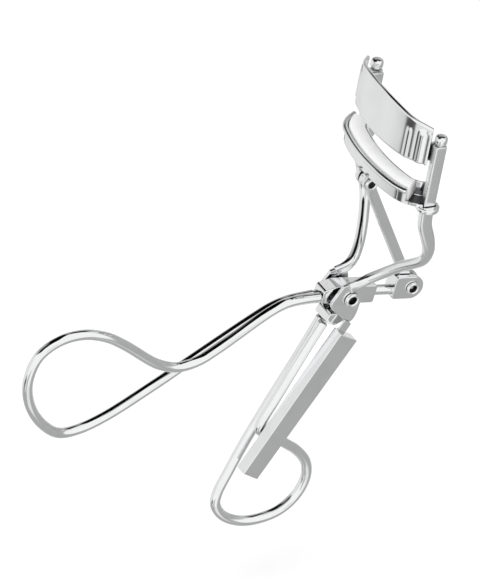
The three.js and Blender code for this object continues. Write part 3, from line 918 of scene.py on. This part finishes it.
def rivets():
    eye = lever_points([EYE])[0]
    frame_half = CHEEK_OUT + CLEAR
    fork_half = LEVER_HALF + CLEAR
    # Piece, CAD node, body, place, shank radius and half length, head radius and height, and the share of the
    # head's radius in the middle of the dimple that is left out of the painted shade on the dimple's wall
    seats = (
        ("main_pivot_rivet", "main_rivet", "frame", (0, 0), PIVOT_R, frame_half, 1.75, 0.8, 0),
        ("lug_pin", "lug_rivet", "jaw_carriage", LUG_PIN, LUG_PIN_R, fork_half, 1.6, 0.6, 0),
        ("eye_rivet", "link_rivet", "finger_handle", eye, EYE_PIN_R, fork_half, 1.6, 0.6, 0.2),
    )
    for name, node, body, (y, z), radius, half, head_r, head, bright in seats:
        mesh = rivet_mesh(y, z, radius, half, head_r, head)
        piece = finished(name, mesh, RIVET, body, node, sharp=50, level=False)
        middle = RIVET_MIDDLE + Vector((0, y, z)) * MM
        deep, narrow, wide = (half - 1) * MM, head_r * bright * MM, head_r * 0.57 * MM
        # Painted shade: dark chrome on the wall of the dimple in the near head.
        paint_shade(piece, lambda face: face.center.x > deep and narrow <= (face.center - middle).yz.length < wide)


# Comb and its case

def case_points(points):
    """Points given as (across, down) from the case's top corner, turned to how it hangs."""
    return turned([(across, -down) for across, down in points], CASE_TILT, CASE_TOP)


def comb_case():
    """A channel of sheet metal, open at its front and lower end, with a tab up to the near cheek."""
    outer = case_points([(0, 0), (0, CASE_LONG), (CASE_DEEP_END, CASE_LONG), (CASE_DEEP_TOP, 0)])
    body = sheet([outer], CASE_IN, CASE_OUT, 0.18)
    past_front, past_end = CASE_DEEP_TOP + 1, CASE_LONG + 1
    inner = case_points([
        (CASE_WALL, CASE_WALL), (CASE_WALL, past_end), (past_front, past_end), (past_front, CASE_WALL),
    ])
    room = sheet([inner], CASE_IN + CASE_WALL, CASE_OUT - CASE_WALL, 0.1)
    upright = rounded(case_points([(0.1, -2.8), (0.1, 0.5), (2.4, 0.5), (2.4, -2.8)]), 0.5)
    tab_in = CHEEK_OUT + CLEAR
    tab = sheet([upright], tab_in, tab_in + CASE_WALL, 0.1)
    mesh = union(cut(body, room), tab)
    finished("comb_case_channel", mesh, PLATE, "frame", "comb_case")


def comb():
    """The lash comb in its case, and the pin that it folds out on."""
    spine_back, spine_front, tip, start = 2.3, 3.9, 0.75, 1.2
    pitch, wide, teeth = 1.3, 0.65, 24
    point, slope = 0.2, 0.08
    outline = [(spine_front, start), (spine_back, start)]
    for i in range(teeth):
        down = start + wide + i * pitch
        outline += [
            (spine_back, down), (tip + point, down + slope), (tip, down + wide / 2),
            (tip + point, down + wide - slope), (spine_back, down + wide),
        ]
    end = CASE_LONG - COMB_PIN_UP
    outline += [(spine_back, end), (spine_front, end)]
    middle = (CASE_IN + CASE_OUT) / 2
    sides = (middle - COMB_HALF, middle + COMB_HALF, 0.12)
    pin = case_points([(CASE_DEEP_END / 2, end)])[0]
    whole = union(sheet([case_points(outline)], *sides), sheet([circle(*pin, 1.5)], *sides))
    bore = rod((0, *pin), (9, *pin), COMB_PIN_R + CLEAR)
    finished("comb_blade", cut(whole, bore), PLASTIC, "comb", "comb", slot="comb")
    sunk = 0.35
    pin_mesh = rod((CASE_IN + sunk, *pin), (CASE_OUT - sunk, *pin), COMB_PIN_R)
    finished("comb_pivot_pin", pin_mesh, RIVET, "frame", "comb_pin", sharp=50, level=False)


finger_loop()
thumb_loop()
yoke_block()
side_rails()
rail_caps()
upper_plate()
lower_jaw()
pad()
lever()
link()
rivets()
comb_case()
comb()


# Stage

# The camera's own axes
VIEW_BACK = Vector((0.698, -0.481, 0.531)).normalized()
VIEW_UP = VIEW_BACK.cross(Vector((0.469, 0.867, 0.168))).normalized()
VIEW_RIGHT = VIEW_UP.cross(VIEW_BACK)
VIEW_AIM = (-23.27, 0.09)  # mm from the main rivet to the middle of the picture, to the right and up
VIEW_LONG = 130.25  # mm at the object that the picture's longer side takes in
VIEW_DISTANCE = 4000  # mm from the object to the camera, so that lines stay nearly parallel
FLOOR_DROP = 0.02  # m from the object to the floor, which clears the comb when it is folded out
TENT_LEVEL = 1.08  # how bright the tent is as a light and as a background
MIRROR_LEVEL = 1.2  # how bright it is in reflections, where no card hides it


def camera():
    data = bpy.data.cameras.new("camera")
    data.sensor_width = 36
    data.lens = data.sensor_width * VIEW_DISTANCE / VIEW_LONG
    data.clip_start = 0.05
    data.clip_end = 20
    seen = bpy.data.objects.new("camera", data)
    aim = VIEW_RIGHT * VIEW_AIM[0] + VIEW_UP * VIEW_AIM[1]
    place = RIVET_MIDDLE + (aim + VIEW_BACK * VIEW_DISTANCE) * MM
    axes = Matrix((VIEW_RIGHT, VIEW_UP, VIEW_BACK)).transposed()
    seen.matrix_world = Matrix.Translation(place) @ axes.to_4x4()
    bpy.context.scene.collection.objects.link(seen)
    bpy.context.scene.camera = seen


def floor():
    """A pale floor, which the chrome doesn't reflect."""
    size = 4
    low = cad_low.z - FLOOR_DROP
    verts = [(-size, -size, low), (size, -size, low), (size, size, low), (-size, size, low)]
    mesh = bpy.data.meshes.new("floor")
    mesh.from_pydata(verts, [], [(0, 1, 2, 3)])
    material, nodes, shader, place = surface("pale_floor", (0.97, 0.97, 0.97), 0.0, 0.9)
    shader.inputs["Specular IOR Level"].default_value = 0
    mesh.materials.append(material)
    ground = bpy.data.objects.new("floor", mesh)
    ground.visible_glossy = False
    bpy.context.scene.collection.objects.link(ground)


# What the chrome reflects: flat cards hung round the object, each over those before it. A card has
# - its shade
# - its bearing and half width in degrees, with 0 to the right of the picture and 90 to its top
# - where it starts and ends, in degrees away from the camera
# - how soft its ends and its sides are, in degrees
ALL_ROUND = (0, 180)
CARDS = (
    # Grey surroundings, from beside the object to behind it, seen in faces that turn away
    (0.52, *ALL_ROUND, 78, 200, 5, 8),
    # Light and dark strips beside and below, for the rear wall of the jaw, the plate and the wires
    (0.78, -49, 9, 40, 52, 4, 4),
    (1.0, 175, 28, 66, 150, 6, 10),
    (1.0, 230, 9, 60, 90, 3, 3),
    (0.1, 213, 9, 74, 98, 3, 2),
    (0.06, 240, 1.5, 55, 80, 3, 1),
    (0.6, 252, 9, 50, 78, 3, 2),
    (1.0, 280, 22, 74, 97, 3, 4),
    (1.0, 50, 13, 74, 98, 3, 4),
    # Black cards overhead, for the dark lines along the wires and the arms
    (0.0, 106, 18, 34, 118, 3, 5),
    (0.0, 138, 18, 34, 80, 3, 5),
    (0.0, 91, 8, 34, 96, 3, 4),
    (0.0, 72, 15, 80, 108, 3, 4),
    # Small white cards over those
    (0.95, 92, 4, 101, 112, 2, 2),
    (0.9, 66, 7, 119, 130, 2, 3),
    # The backdrop, white with a darker middle, seen along the outlines
    (0.95, *ALL_ROUND, 143, 190, 5, 8),
    (0.35, *ALL_ROUND, 162, 190, 4, 8),
)


def studio():
    """A white tent, with the cards seen only in reflections."""
    world = bpy.data.worlds.new("studio")
    bpy.context.scene.world = world
    world.use_nodes = True
    nodes = Nodes(world.node_tree)
    direction = nodes.tree.nodes.new("ShaderNodeTexCoord").outputs["Generated"]

    def along(axis):
        node = nodes.tree.nodes.new("ShaderNodeVectorMath")
        node.operation = "DOT_PRODUCT"
        nodes.link(direction, node.inputs[0])
        node.inputs[1].default_value = axis
        return node.outputs["Value"]

    right, up, back = along(VIEW_RIGHT), along(VIEW_UP), along(VIEW_BACK)
    polar = nodes.math("DEGREES", nodes.math("ARCCOSINE", back))

    def window(value, low, high, soft):
        """One between two values and zero beyond them, with soft ends."""
        rise = nodes.ramp(value, low - soft, low + soft)
        fall = nodes.ramp(value, high - soft, high + soft, 1.0, 0.0)
        return nodes.math("MULTIPLY", rise, fall)

    def clock(facing):
        """Degrees between this direction and a bearing in the picture, where 0 is right and 90 is up."""
        angle = math.radians(facing)
        part = nodes.math("MULTIPLY", right, math.cos(angle))
        part = nodes.math("MULTIPLY_ADD", up, math.sin(angle), part)
        size = nodes.math("SQRT", nodes.math("SUBTRACT", 1.0001, nodes.math("MULTIPLY", back, back)))
        cosine = nodes.math("DIVIDE", part, size)
        cosine = nodes.math("MINIMUM", nodes.math("MAXIMUM", cosine, -1.0), 1.0)
        return nodes.math("DEGREES", nodes.math("ARCCOSINE", cosine))

    def card(level, shade, facing, half, low, high, soft, edge):
        """The level with a card laid over it."""
        cover = window(polar, low, high, soft)
        if half < 180:
            across = nodes.ramp(clock(facing), half - edge, half + edge, 1.0, 0.0)
            cover = nodes.math("MULTIPLY", cover, across)
        keep = nodes.math("SUBTRACT", 1.0, cover)
        return nodes.math("MULTIPLY_ADD", cover, shade, nodes.math("MULTIPLY", keep, level))

    level = MIRROR_LEVEL
    for given in CARDS:
        level = card(level, *given)

    mirror = nodes.tree.nodes.new("ShaderNodeBackground")
    nodes.link(level, mirror.inputs["Strength"])
    plain = nodes.tree.nodes.new("ShaderNodeBackground")
    plain.inputs["Strength"].default_value = TENT_LEVEL
    path = nodes.tree.nodes.new("ShaderNodeLightPath")
    mixed = nodes.tree.nodes.new("ShaderNodeMixShader")
    nodes.link(path.outputs["Is Glossy Ray"], mixed.inputs[0])
    nodes.link(plain.outputs[0], mixed.inputs[1])
    nodes.link(mirror.outputs[0], mixed.inputs[2])
    output = nodes.tree.nodes.new("ShaderNodeOutputWorld")
    nodes.link(mixed.outputs[0], output.inputs[0])
    bpy.context.scene.view_settings.view_transform = "Standard"


def softbox():
    """One large soft light from above and behind the camera, for the pad and the comb."""
    data = bpy.data.lights.new("softbox", "AREA")
    data.size = 0.8
    data.energy = 6
    box = bpy.data.objects.new("softbox", data)
    place = RIVET_MIDDLE + VIEW_BACK * 0.5 + Vector((-0.2, -0.3, 0.8))
    box.location = place
    box.rotation_mode = "QUATERNION"
    box.rotation_quaternion = (RIVET_MIDDLE - place).to_track_quat("-Z", "Y")
    box.visible_glossy = False
    bpy.context.scene.collection.objects.link(box)


camera()
floor()
studio()
softbox()
